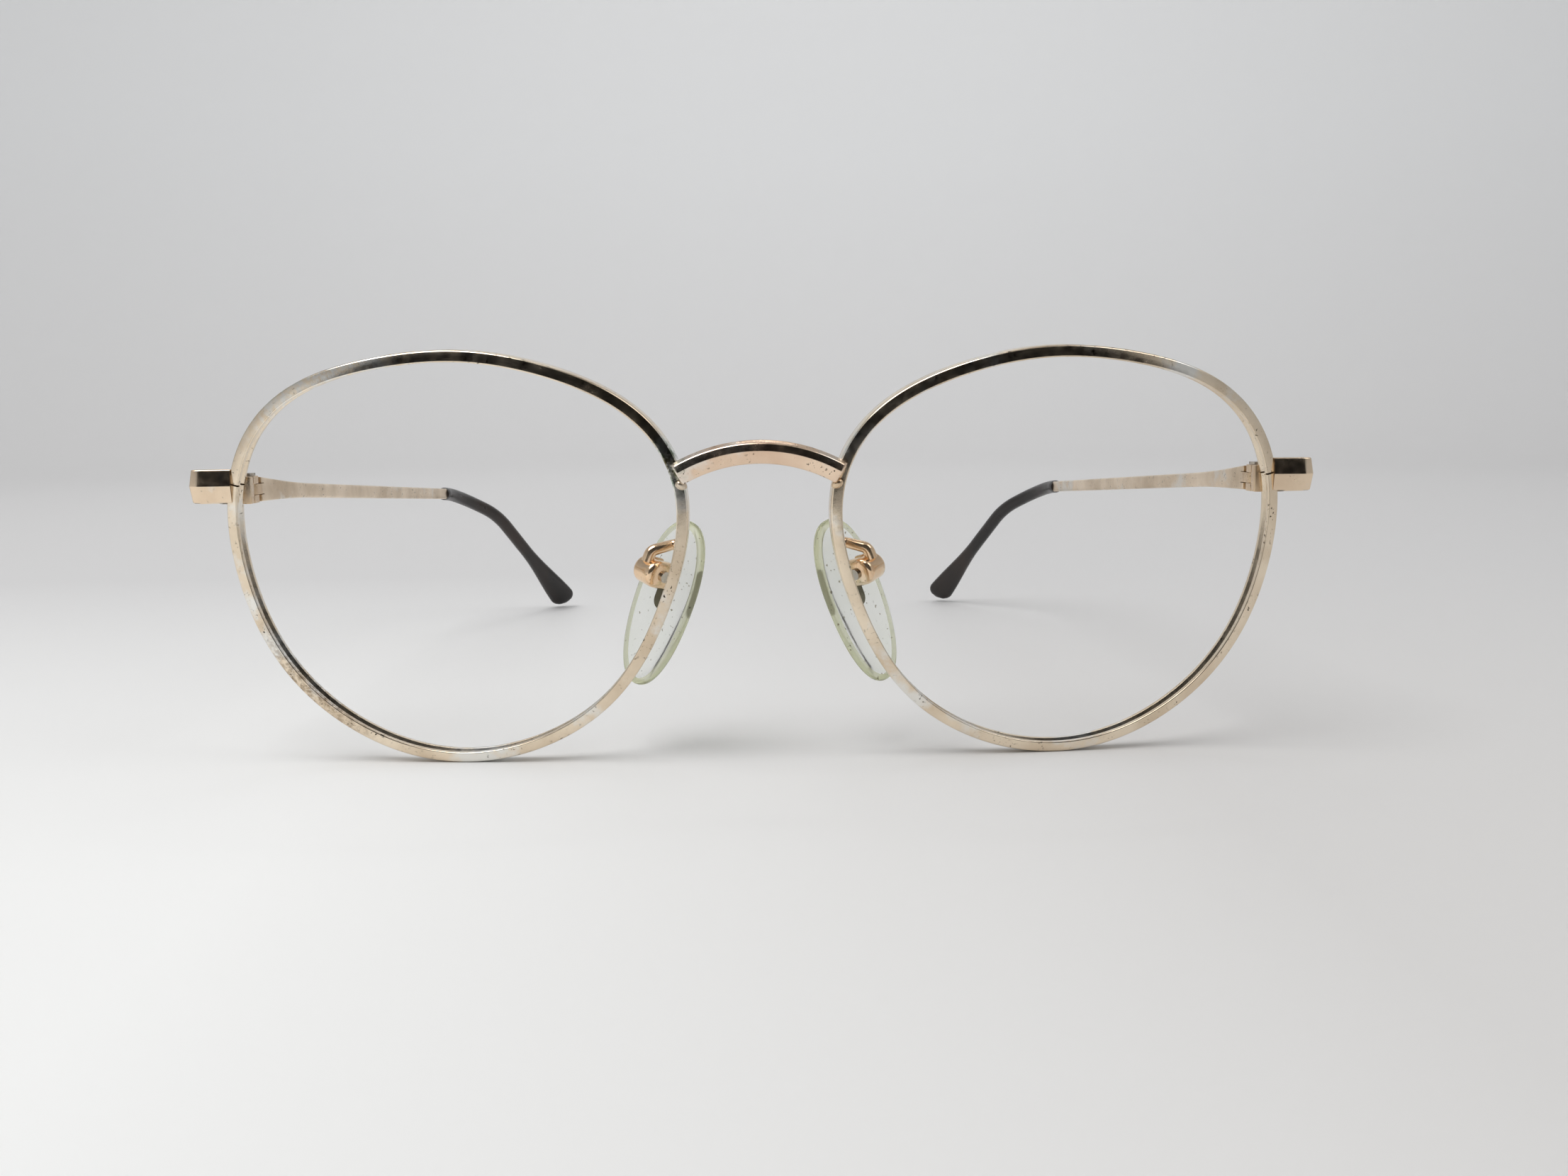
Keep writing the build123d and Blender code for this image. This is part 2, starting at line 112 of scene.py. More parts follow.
def tube(path, section, reference):
    """Rings of a section carried along a path. section(i, share) gives 2-D points."""
    rings = []
    count = len(path)
    for i, point in enumerate(path):
        ahead = path[i + 1] if i < count - 1 else path[i]
        behind = path[i - 1] if i > 0 else path[i]
        along = (ahead - behind).normalized()
        across = (reference - along * reference.dot(along)).normalized()
        up = along.cross(across)
        rings.append([point + across * a + up * b for a, b in section(i, i / (count - 1))])
    return rings


def circle(radius, count=24):
    turns = [2 * pi * k / count for k in range(count)]
    return [(radius * cos(turn), radius * sin(turn)) for turn in turns]


def skin(rings):
    """Vertices and faces between rings, with a flat cap on each open end."""
    size = len(rings[0])
    verts = [p for ring in rings for p in ring]
    faces = []
    for i in range(len(rings) - 1):
        for k in range(size):
            m = (k + 1) % size
            faces.append((i * size + k, i * size + m, (i + 1) * size + m, (i + 1) * size + k))
    faces.append(tuple(range(size)))
    last = (len(rings) - 1) * size
    faces.append(tuple(range(last + size - 1, last - 1, -1)))
    return verts, faces


def prism(outline, low, high, bevel=0.08, plane=None):
    """An upright block of a 2-D outline with bevelled rims; plane maps (x, y, z) to the design frame."""
    centre = Vector((sum(p[0] for p in outline) / len(outline), sum(p[1] for p in outline) / len(outline)))
    reach = max((Vector(p) - centre).length for p in outline)
    levels = [(low, bevel), (low + bevel * 0.3, bevel * 0.3), (low + bevel, 0)]
    levels += [(high - bevel, 0), (high - bevel * 0.3, bevel * 0.3), (high, bevel)]
    rings = []
    for level, inset in levels:
        share = 1 - inset / reach
        ring = [centre + (Vector(p) - centre) * share for p in outline]
        rings.append([Vector((p.x, p.y, level)) for p in ring])
    if plane is not None:
        rings = [[plane @ p for p in ring] for ring in rings]
    return skin(rings)


def join(*shapes):
    verts = []
    faces = []
    for more_verts, more_faces in shapes:
        start = len(verts)
        verts += more_verts
        faces += [tuple(i + start for i in face) for face in more_faces]
    return verts, faces


def piece(name, shape, side, material, body, nodes=(), sharp=32, cut=None):
    """A mesh object from a shape in the design frame, mirrored for the left side."""
    verts, faces = shape
    mesh = bpy.data.meshes.new(name)
    mesh.from_pydata([(Vector((side * p.x, p.y, p.z)) + origin) * MM for p in verts], [], faces)
    work = bmesh.new()
    work.from_mesh(mesh)
    bmesh.ops.recalc_face_normals(work, faces=work.faces)
    work.to_mesh(mesh)
    work.free()
    obj = bpy.data.objects.new(name, mesh)
    scene.collection.objects.link(obj)
    if cut is not None:
        subtract(obj, cut, side)
    obj.data.shade_smooth()
    obj.data.set_sharp_from_angle(angle=radians(sharp))
    obj.data.materials.clear()
    obj.data.materials.append(material)
    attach(obj, body)
    if nodes:
        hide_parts(*nodes)
    return obj


def subtract(obj, shape, side):
    """Cuts a shape out of an object's mesh."""
    verts, faces = shape
    mesh = bpy.data.meshes.new("cutter")
    mesh.from_pydata([(Vector((side * p.x, p.y, p.z)) + origin) * MM for p in verts], [], faces)
    work = bmesh.new()
    work.from_mesh(mesh)
    bmesh.ops.recalc_face_normals(work, faces=work.faces)
    work.to_mesh(mesh)
    work.free()
    cutter = bpy.data.objects.new("cutter", mesh)
    scene.collection.objects.link(cutter)
    change = obj.modifiers.new("cut", "BOOLEAN")
    change.operation = "DIFFERENCE"
    change.solver = "EXACT"
    change.object = cutter
    bpy.context.view_layer.update()
    seen = obj.evaluated_get(bpy.context.evaluated_depsgraph_get())
    result = bpy.data.meshes.new_from_object(seen)
    obj.modifiers.clear()
    obj.data = result
    bpy.data.objects.remove(cutter)


def box_shape(low, high):
    corners = [(low[0], low[1]), (high[0], low[1]), (high[0], high[1]), (low[0], high[1])]
    rings = [[Vector((x, y, z)) for x, y in corners] for z in (low[2], high[2])]
    return skin(rings)


# ---- materials -----------------------------------------------------------------------------------
def new_material(name):
    material = bpy.data.materials.new(name)
    material.use_nodes = True
    nodes = material.node_tree.nodes
    return material, nodes, material.node_tree.links, nodes["Principled BSDF"]


def noise(nodes, links, scale, detail=4.0, rough=0.55, stretch=None):
    """A noise texture in object coordinates, scale in features per metre."""
    coords = nodes.new("ShaderNodeTexCoord")
    out = coords.outputs["Object"]
    if stretch:
        mapping = nodes.new("ShaderNodeMapping")
        mapping.inputs["Scale"].default_value = stretch
        links.new(out, mapping.inputs["Vector"])
        out = mapping.outputs["Vector"]
    texture = nodes.new("ShaderNodeTexNoise")
    texture.inputs["Scale"].default_value = scale
    texture.inputs["Detail"].default_value = detail
    texture.inputs["Roughness"].default_value = rough
    links.new(out, texture.inputs["Vector"])
    return texture.outputs["Fac"]


def ramp(nodes, links, source, low, high, bottom=0.0, top=1.0):
    """Maps source from low..high to bottom..top."""
    spread = nodes.new("ShaderNodeMapRange")
    spread.inputs["From Min"].default_value = low
    spread.inputs["From Max"].default_value = high
    spread.inputs["To Min"].default_value = bottom
    spread.inputs["To Max"].default_value = top
    links.new(source, spread.inputs["Value"])
    return spread.outputs["Result"]


def blend_colour(nodes, links, mask, one, two):
    """Mixes two colours (or sockets) by a mask."""
    mix = nodes.new("ShaderNodeMix")
    mix.data_type = "RGBA"
    links.new(mask, mix.inputs["Factor"])
    for socket, value in ((mix.inputs[6], one), (mix.inputs[7], two)):
        if isinstance(value, tuple):
            socket.default_value = (*value, 1.0)
        else:
            links.new(value, socket)
    return mix.outputs[2]


def near_point(nodes, links, point, inner, outer):
    """A mask that is 1 within inner metres of a point in the row frame and 0 past outer."""
    coords = nodes.new("ShaderNodeTexCoord")
    distance = nodes.new("ShaderNodeVectorMath")
    distance.operation = "DISTANCE"
    links.new(coords.outputs["Object"], distance.inputs[0])
    distance.inputs[1].default_value = point
    return ramp(nodes, links, distance.outputs["Value"], outer, inner)


def multiply(nodes, links, one, two):
    math = nodes.new("ShaderNodeMath")
    math.operation = "MULTIPLY"
    links.new(one, math.inputs[0])
    links.new(two, math.inputs[1])
    return math.outputs["Value"]


def bump(nodes, links, shader, height, distance, strength=1.0):
    node = nodes.new("ShaderNodeBump")
    node.inputs["Distance"].default_value = distance
    node.inputs["Strength"].default_value = strength
    links.new(height, node.inputs["Height"])
    links.new(node.outputs["Normal"], shader.inputs["Normal"])


def worn_metal(name, gold, worn, dull, roughness, specks=0.3, wear=0.5, patina_and_highlight=None):
    """Plated metal: colour drifts, silvery worn patches, dark pits, and near given points patina and painted
    highlights.
    """
    material, nodes, links, shader = new_material(name)
    drift = ramp(nodes, links, noise(nodes, links, 160, 5), 0.35, 0.68)
    colour = blend_colour(nodes, links, drift, gold, dull)
    patches = ramp(nodes, links, noise(nodes, links, 95, 6, 0.62), 0.60 - 0.1 * wear, 0.66 - 0.06 * wear)
    colour = blend_colour(nodes, links, patches, colour, worn)
    pits = ramp(nodes, links, noise(nodes, links, 2600, 3, 0.5), 0.66 - 0.06 * specks, 0.72 - 0.06 * specks)
    clusters = ramp(nodes, links, noise(nodes, links, 240, 3, 0.6), 0.46, 0.62)
    pits = multiply(nodes, links, pits, clusters)
    colour = blend_colour(nodes, links, pits, colour, (0.045, 0.03, 0.016))
    # spots of patina, and on the left rim one painted highlight: a silver reflection painted into the colour
    for point, inner, outer, shade in patina_and_highlight or ():
        mask = near_point(nodes, links, point, inner, outer)
        spot_breakup = ramp(nodes, links, noise(nodes, links, 1500, 5, 0.65), 0.42, 0.60)
        colour = blend_colour(nodes, links, multiply(nodes, links, mask, spot_breakup), colour, shade)
    links.new(colour, shader.inputs["Base Color"])
    shader.inputs["Metallic"].default_value = 1.0
    rough = ramp(nodes, links, noise(nodes, links, 700, 5, 0.6), 0.3, 0.75, roughness, roughness + 0.16)
    links.new(rough, shader.inputs["Roughness"])
    grain = noise(nodes, links, 5200, 4, 0.6)
    bump(nodes, links, shader, grain, 0.000006, 0.6)
    return material


bridge_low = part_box("bridge")[0]
joint_spot = (bridge_low.x, bridge_low.y + 0.0015, bridge_low.z + 0.0022)
# painted highlight: a silver spot at the top of the left rim that stands in for a bright reflection, not
# wear
painted_highlight_spot = (-0.050, bridge_low.y, 0.047)
pitted_spot = (-0.055, bridge_low.y, 0.009)
VERDIGRIS = (0.10, 0.20, 0.13)
BROWN_CRUST = (0.16, 0.09, 0.04)

rim_gold = worn_metal(
    "rim_gold",
    (0.88, 0.76, 0.60),
    (0.84, 0.82, 0.77),
    (0.70, 0.57, 0.42),
    0.13,
    specks=0.8,
    wear=0.5,
    patina_and_highlight=[
        # painted highlight: silver reflection painted on the top of the left rim
        (painted_highlight_spot, 0.006, 0.016, (0.80, 0.78, 0.74)),
        (pitted_spot, 0.004, 0.013, (0.20, 0.13, 0.07)),
        (joint_spot, 0.0012, 0.0042, VERDIGRIS),
        (joint_spot, 0.0004, 0.0022, BROWN_CRUST),
    ],
)
bridge_gold = worn_metal(
    "bridge_gold",
    (0.90, 0.71, 0.54),
    (0.86, 0.76, 0.66),
    (0.76, 0.55, 0.40),
    0.15,
    specks=0.6,
    wear=0.3,
    patina_and_highlight=[(joint_spot, 0.0006, 0.0026, VERDIGRIS)],
)
lug_gold = worn_metal(
    "lug_gold", (0.88, 0.72, 0.54), (0.84, 0.78, 0.70), (0.74, 0.57, 0.41), 0.14, wear=0.3
)
temple_gold = worn_metal(
    "temple_gold", (0.86, 0.72, 0.56), (0.76, 0.70, 0.62), (0.60, 0.47, 0.33), 0.26, specks=0.6, wear=0.4
)
hinge_gold = worn_metal(
    "hinge_gold", (0.80, 0.62, 0.43), (0.70, 0.60, 0.48), (0.50, 0.36, 0.23), 0.22, specks=0.6
)
pad_gold = worn_metal(
    "pad_gold", (0.92, 0.69, 0.47), (0.88, 0.74, 0.56), (0.78, 0.53, 0.33), 0.09, specks=0.3
)
screw_steel = worn_metal("screw_steel", (0.66, 0.61, 0.54), (0.5, 0.48, 0.45), (0.38, 0.35, 0.31), 0.24)
insert_bronze = worn_metal("insert_bronze", (0.17, 0.15, 0.09), (0.22, 0.20, 0.14), (0.09, 0.08, 0.05), 0.3)


def dark_plastic():
    material, nodes, links, shader = new_material("tip_plastic")
    streaks = ramp(nodes, links, noise(nodes, links, 90, 4, 0.6, stretch=(1.0, 0.35, 0.35)), 0.45, 0.75)
    colour = blend_colour(nodes, links, streaks, (0.010, 0.007, 0.006), (0.034, 0.017, 0.009))
    links.new(colour, shader.inputs["Base Color"])
    rough = ramp(nodes, links, noise(nodes, links, 420, 5), 0.3, 0.75, 0.26, 0.46)
    links.new(rough, shader.inputs["Roughness"])
    shader.inputs["Specular IOR Level"].default_value = 0.55
    shader.inputs["Coat Weight"].default_value = 0.12
    shader.inputs["Coat Roughness"].default_value = 0.3
    bump(nodes, links, shader, noise(nodes, links, 2600, 3), 0.000008, 0.5)
    return material


def pad_plastic(name, clear, tinted, strength):
    material, nodes, links, shader = new_material(name)
    cloud = ramp(nodes, links, noise(nodes, links, 160, 3), 0.35, 0.7)
    colour = blend_colour(nodes, links, cloud, clear, tinted)
    dirt = ramp(nodes, links, noise(nodes, links, 1900, 2, 0.4), 0.70, 0.74)
    colour = blend_colour(nodes, links, dirt, colour, (0.20, 0.17, 0.10))
    links.new(colour, shader.inputs["Base Color"])
    rough = ramp(nodes, links, noise(nodes, links, 600, 4), 0.3, 0.7, 0.05, 0.16)
    links.new(rough, shader.inputs["Roughness"])
    shader.inputs["Transmission Weight"].default_value = strength
    shader.inputs["IOR"].default_value = 1.25
    bump(nodes, links, shader, noise(nodes, links, 900, 3), 0.000008, 0.5)
    return material


def clear_lens():
    material, nodes, links, shader = new_material("clear_lens")
    shader.inputs["Roughness"].default_value = 0.0
    shader.inputs["Base Color"].default_value = (0.985, 0.99, 0.99, 1)
    shader.inputs["Transmission Weight"].default_value = 1.0
    shader.inputs["IOR"].default_value = 1.003
    shader.inputs["Alpha"].default_value = 0.08
    return material


tip_plastic = dark_plastic()
pad_clear = pad_plastic("pad_plastic", (0.97, 0.98, 0.95), (0.93, 0.95, 0.89), 0.98)
pad_edge = pad_plastic("pad_edge", (0.80, 0.82, 0.60), (0.73, 0.75, 0.50), 0.70)
lens_clear = clear_lens()

# ---- rims ----------------------------------------------------------------------------------------
HALF_SPACING = 36.4
LENS_HEIGHT = 25.65
RIM_SIZE = 26.3
RIM_SHAPE = {2: (1.2, -0.1), 3: (-0.15, 1.15), 4: (-0.25, -0.1), 5: (-0.05, 0.2), 6: (-0.15, -0.1)}
RIM_WIDTH = 1.36
RIM_DEPTH = 2.2
BASE_CURVE = 97.6
FACE_WRAP = radians(3.85)
FACE_TILT = radians(5.1)
LOCK_MIDDLE = 34.4

wrap_slope = sin(FACE_WRAP)
tilt_slope = sin(FACE_TILT)
eye_z = Vector((wrap_slope, -1, -tilt_slope)).normalized()
eye_x = Vector((1, wrap_slope, 0)).normalized()
eye_y = eye_z.cross(eye_x)
eye_turn = Matrix((eye_x, eye_y, eye_z)).transposed().to_4x4()
eye_matrix = Matrix.Translation((HALF_SPACING, 0, LENS_HEIGHT)) @ eye_turn


def outline_point(angle, inset, depth=0.0):
    """A point of the rim outline moved in by inset and back by depth from the rim's front."""
    radius = RIM_SIZE
    slope = 0
    for wave, (along, across) in RIM_SHAPE.items():
        radius += along * cos(wave * angle) + across * sin(wave * angle)
        slope += wave * (across * cos(wave * angle) - along * sin(wave * angle))
    length = sqrt(radius**2 + slope**2)
    turn = angle - atan2(slope, radius)
    x = radius * cos(angle) - inset * cos(turn)
    y = radius * sin(angle) - inset * sin(turn)
    return eye_matrix @ Vector((x, y, -(x**2 + y**2) / (2 * BASE_CURVE) - depth))


RIM_SECTION = rounded(
    [
        (0.0, 0.0, 0.22),
        (0.68, -0.03, 2.0),
        (1.36, 0.0, 0.2),
        (1.36, 0.62, 0.06),
        (0.92, 1.0, 0.08),
        (0.92, 1.28, 0.08),
        (1.36, 1.62, 0.06),
        (1.36, 2.2, 0.22),
        (0.0, 2.2, 0.28),
        (-0.05, 1.1, 2.0),
    ],
    0.1,
    4,
)


def rim_shape():
    """The grooved wire, open at the cut that the rim lock closes."""
    cut_height = LOCK_MIDDLE - LENS_HEIGHT
    cut_angle = 0.0
    for _ in range(30):
        cut_angle += (cut_height - (eye_matrix.inverted() @ outline_point(cut_angle, 0)).y) / RIM_SIZE
    gap = 0.1 / RIM_SIZE
    count = 300
    angles = [cut_angle + gap + (2 * pi - 2 * gap) * k / count for k in range(count + 1)]
    rings = [[outline_point(angle, inset, depth) for inset, depth in RIM_SECTION] for angle in angles]
    return skin(rings)


for name, side in SIDES.items():
    piece(f"{name}_rim_wire", rim_shape(), side, rim_gold, "frame", [f"{name}_rim"])

# ---- bridge --------------------------------------------------------------------------------------
BRIDGE_TOP = 39.35
BRIDGE_HEIGHT = 2.8
BRIDGE_RADIUS = 19.3
BRIDGE_ANGLE = radians(29.75)
bridge_middle = BRIDGE_TOP - BRIDGE_HEIGHT / 2
BRIDGE_SECTION = rounded(
    [
        (1.4, 0.35, 0.3),
        (1.0, -0.35, 0.35),
        (0.1, -0.6, 0.4),
        (-1.4, 0.25, 0.3),
        (-1.3, 1.7, 0.3),
        (1.3, 1.7, 0.3),
    ],
    0.2,
    5,
)


def bridge_shape():
    rings = []
    steps = 56
    reaches = [BRIDGE_ANGLE * (2 * k / steps - 1) for k in range(steps + 1)]
    ease = 0.35 / BRIDGE_RADIUS
    ends = [(ease * (1 - cos(pi / 2 * k / 5)), 1 - 0.14 * (1 - sin(pi / 2 * k / 5))) for k in range(5)]
    stations = [(-BRIDGE_ANGLE + ahead, shrink) for ahead, shrink in ends]
    stations += [(angle, 1.0) for angle in reaches[1:-1]]
    stations += [(BRIDGE_ANGLE - ahead, shrink) for ahead, shrink in reversed(ends)]
    for angle, shrink in stations:
        ring = []
        for radial, depth in BRIDGE_SECTION:
            reach = BRIDGE_RADIUS + radial * shrink
            height = bridge_middle - BRIDGE_RADIUS + reach * cos(angle)
            ring.append(Vector((reach * sin(angle), 0.55 + (depth - 0.55) * shrink, height)))
        rings.append(ring)
    return skin(rings)


piece("bridge_bar", bridge_shape(), 1, bridge_gold, "frame", ["bridge"])


def blob(centre, size, lean, seed):
    """A small uneven bead of solder."""
    rings = []
    for i in range(1, 12):
        polar = pi * i / 12
        ring = []
        for k in range(20):
            turn = 2 * pi * k / 20
            swell = 1 + 0.08 * sin(3 * turn + seed) * sin(polar * 2 + seed)
            x = size[0] * sin(polar) * cos(turn) * swell
            y = size[1] * sin(polar) * sin(turn) * swell
            z = size[2] * cos(polar)
            leant = Vector((x * cos(lean) - z * sin(lean), y, x * sin(lean) + z * cos(lean)))
            ring.append(Vector(centre) + leant)
        rings.append(ring)
    return skin(rings)


SOLDER_SPOT = (9.15, 1.15, 34.15)
SOLDER_SIZE = (0.75, 0.6, 0.55)
SOLDER_LEAN = 0.5
for name, side in SIDES.items():
    foot = blob(SOLDER_SPOT, SOLDER_SIZE, SOLDER_LEAN, side)
    piece(f"{name}_bridge_solder", foot, side, hinge_gold, "frame")

# ---- lugs ----------------------------------------------------------------------------------------
LUG_PATH = rounded(
    [(62.35, 4.48, 0), (66.2, 4.13, 3.0), (67.3, 4.5, 0.7), (67.15, 5.6, 1.5), (64.55, 7.55, 0)], 0.5, 8
)
LUG_THICK = 1.2


def lug_shape():
    """A gabled strip that runs out from the rim, round the outer corner and back to the hinge."""
    path = [Vector((x, y)) for x, y in LUG_PATH]
    rings = []
    ends = len(path) - 1
    for i, point in enumerate(path):
        along = (path[min(i + 1, ends)] - path[max(i - 1, 0)]).normalized()
        out = Vector((along.y, -along.x))
        back = max(0.0, (point.y - 4.6) / 3.0)
        top = 2.0 - 0.75 * back
        bottom = -1.95 - 0.25 * back
        ridge = 0.0
        eave = -0.32
        section = rounded(
            [
                (ridge, 0.05, 0.25),
                (eave, top, 0.22),
                (-LUG_THICK, top, 0.12),
                (-LUG_THICK, bottom, 0.12),
                (eave, bottom, 0.22),
            ],
            0.1,
            4,
        )
        ring = []
        for reach, height in section:
            spot = point + out * reach
            ring.append(Vector((spot.x, spot.y, LOCK_MIDDLE + height)))
        rings.append(ring)
    return skin(rings)


for name, side in SIDES.items():
    piece(f"{name}_lug_block", lug_shape(), side, lug_gold, "frame", [f"{name}_lug"])

# ---- hinges --------------------------------------------------------------------------------------
HINGE_X = 62.0
HINGE_Y = 9.42
HINGE_RADIUS = 1.15
HINGE_LEVELS = {"low_ear": (32.15, 33.10), "tongue": (33.14, 34.39), "top_ear": (34.43, 35.38)}
LUG_BACK = 7.62
HINGE_BACK = 8.17
TONGUE_SHANK = 12.9  # where the tongue ends inside the temple
PLATE_FRONT = LUG_BACK - 0.75
PLATE_IN = 60.87
PLATE_OUT = 64.5
PLATE_CORNERS = [
    (PLATE_IN, PLATE_FRONT),
    (PLATE_OUT, PLATE_FRONT),
    (PLATE_OUT, HINGE_BACK),
    (PLATE_IN, HINGE_BACK),
]


def knuckle(low, high, shank):
    """A knuckle: a round barrel with a flat shank to shank, along Y."""
    toward = 1 if shank > HINGE_Y else -1
    outline = []
    for k in range(25):
        angle = pi * k / 24 + (pi if toward > 0 else 0)
        outline.append((HINGE_X + HINGE_RADIUS * cos(angle), HINGE_Y + HINGE_RADIUS * sin(angle)))
    outline += [(outline[-1][0], shank), (outline[0][0], shank)]
    return prism(outline, low, high, 0.07)


for name, side in SIDES.items():
    plate = prism(
        rounded(PLATE_CORNERS, 0.15),
        HINGE_LEVELS["low_ear"][0],
        HINGE_LEVELS["top_ear"][1],
        0.1,
    )
    ears = [knuckle(*HINGE_LEVELS[ear], HINGE_BACK - 0.1) for ear in ("low_ear", "top_ear")]
    piece(
        f"{name}_hinge_front_half",
        join(plate, *ears),
        side,
        hinge_gold,
        "frame",
        [f"{name}_front_hinge"],
    )
    tongue = knuckle(*HINGE_LEVELS["tongue"], TONGUE_SHANK)
    piece(
        f"{name}_hinge_tongue",
        tongue,
        side,
        hinge_gold,
        f"{name}_temple_arm",
        [f"{name}_temple_hinge"],
    )

# ---- temples -------------------------------------------------------------------------------------
TEMPLE_FRONT = 10.67
TEMPLE_END = 98.97
TEMPLE_INNER = 60.85
SKIN_INNER = 63.35
SKIN_OUTER = 64.55
SKIN_FRONT = 8.27
INWARD = sin(radians(1.9))
DROP = sin(radians(4.3))
TEMPLE_MIDDLE = 33.7
SLIM_Y = TEMPLE_FRONT + 17.0
THICK = 1.4
HALF_FRONT = 1.5  # half the temple's height at the hinge
HALF_BACK = 0.975  # and where it has slimmed down
STEP = 0.1  # length of the small round where the temple's inner side starts
CORE = 2.0  # how far the temple runs into its tip
SLIT_LEVELS = (33.08, 34.42)  # below and above the tongue
SLIT_HALF = 0.05


def inner_at(y):
    return TEMPLE_INNER - INWARD * (y - TEMPLE_FRONT)


def middle_at(y):
    return TEMPLE_MIDDLE - DROP * (y - TEMPLE_FRONT)


def smooth_step(share):
    share = min(max(share, 0.0), 1.0)
    return share * share * (3 - 2 * share)


def temple_ring(y, inner, outer, half, corner):
    section = rounded([(inner, half), (outer, half), (outer, -half), (inner, -half)], corner, 4)
    return [Vector((x, y, middle_at(y) + z)) for x, z in section]


def temple_shape():
    """Thick and tall round the hinge, slimming down to a flat wire."""
    rings = [temple_ring(SKIN_FRONT + 0.02, SKIN_INNER + 0.1, SKIN_OUTER - 0.12, 1.38, 0.2)]
    for y in (SKIN_FRONT + 0.15, TEMPLE_FRONT - 0.06):
        rings.append(temple_ring(y, SKIN_INNER, SKIN_OUTER, HALF_FRONT, 0.25))
    rings.append(temple_ring(TEMPLE_FRONT, TEMPLE_INNER + 0.1, SKIN_OUTER, 1.46, 0.12))
    rings.append(temple_ring(TEMPLE_FRONT + STEP, TEMPLE_INNER, SKIN_OUTER, HALF_FRONT, 0.22))
    wide = SKIN_OUTER - TEMPLE_INNER
    steps = 26
    for k in range(1, steps + 1):
        share = k / steps
        y = TEMPLE_FRONT + STEP + (SLIM_Y - TEMPLE_FRONT) * share
        width = wide + (THICK - wide) * smooth_step(share)
        half = HALF_FRONT + (HALF_BACK - HALF_FRONT) * sin(share * pi / 2)
        rings.append(temple_ring(y, inner_at(y), inner_at(y) + width, half, 0.22 + 0.13 * share))
    cuts = 30
    for k in range(1, cuts + 1):
        y = SLIM_Y + STEP + (TEMPLE_END + CORE - SLIM_Y - STEP) * k / cuts
        rings.append(temple_ring(y, inner_at(y), inner_at(y) + THICK, HALF_BACK, 0.35))
    return skin(rings)


def slit(level):
    """The narrow cut beside the tongue at a level, in the end of the temple."""
    return box_shape(
        (TEMPLE_INNER - 1.35, TEMPLE_FRONT - 0.3, level - SLIT_HALF),
        (SKIN_INNER - 0.15, TEMPLE_FRONT + 0.65, level + SLIT_HALF),
    )


SLITS = join(*[slit(level) for level in SLIT_LEVELS])
for name, side in SIDES.items():
    piece(
        f"{name}_temple_bar",
        temple_shape(),
        side,
        temple_gold,
        f"{name}_temple_arm",
        [f"{name}_temple"],
        cut=SLITS,
    )

# ---- ear tips ------------------------------------------------------------------------------------
temple_dir = Vector((-INWARD, 1, -DROP)).normalized()
tip_start = Vector((inner_at(TEMPLE_END) + THICK / 2, TEMPLE_END, middle_at(TEMPLE_END)))
TIP_STRAIGHT = 9.0
TIP_BEND = 18.0
SLEEVE_RADIUS = 1.2
FLARE = 17.0  # length over which the sleeve widens into the paddle
PADDLE_HALF = 2.6
PADDLE_HALF_THICK = 0.95
ROUND_END = 2.2  # length of the paddle's rounded end
LIP = 0.5  # length of the small round at the sleeve's mouth
TIP_POINTS = [
    tip_start,
    tip_start + temple_dir * TIP_STRAIGHT,
    tip_start + Vector((-7.0, 16.3, -5.5)),
    Vector((tip_start.x - 18.15, tip_start.y + 32.6, 1.25)),
]
TIP_SIDE = Vector((0.87, 0.1, -0.5))


def tip_shape():
    """A round sleeve that flares to a flat rounded paddle."""
    path = rounded_path(TIP_POINTS, TIP_BEND, 0.25)
    lengths = [0.0]
    for a, b in zip(path, path[1:]):
        lengths.append(lengths[-1] + (b - a).length)
    total = lengths[-1]

    def section(i, _share):
        left = total - lengths[i]
        flare = smooth_step(1 - left / FLARE)
        wide = SLEEVE_RADIUS + (PADDLE_HALF - SLEEVE_RADIUS) * flare
        thin = SLEEVE_RADIUS + (PADDLE_HALF_THICK - SLEEVE_RADIUS) * flare
        close = 1.0
        if left < ROUND_END:
            close = sqrt(max(0.0, 1 - ((ROUND_END - left) / (ROUND_END + 0.05)) ** 2))
        if lengths[i] < LIP:
            close = 0.86 + 0.14 * sqrt(min(1.0, lengths[i] / LIP))
        power = 2.0 + 0.7 * flare
        ring = []
        for k in range(36):
            angle = 2 * pi * k / 36
            a = cos(angle)
            b = sin(angle)
            stretch = (abs(a) ** power + abs(b) ** power) ** (-1 / power)
            ring.append((wide * close * a * stretch, thin * (close**0.7) * b * stretch))
        return ring

    return skin(tube(path, section, TIP_SIDE))


for name, side in SIDES.items():
    piece(
        f"{name}_ear_tip",
        tip_shape(),
        side,
        tip_plastic,
        f"{name}_temple_arm",
        [f"{name}_temple_tip"],
        sharp=50,
    )

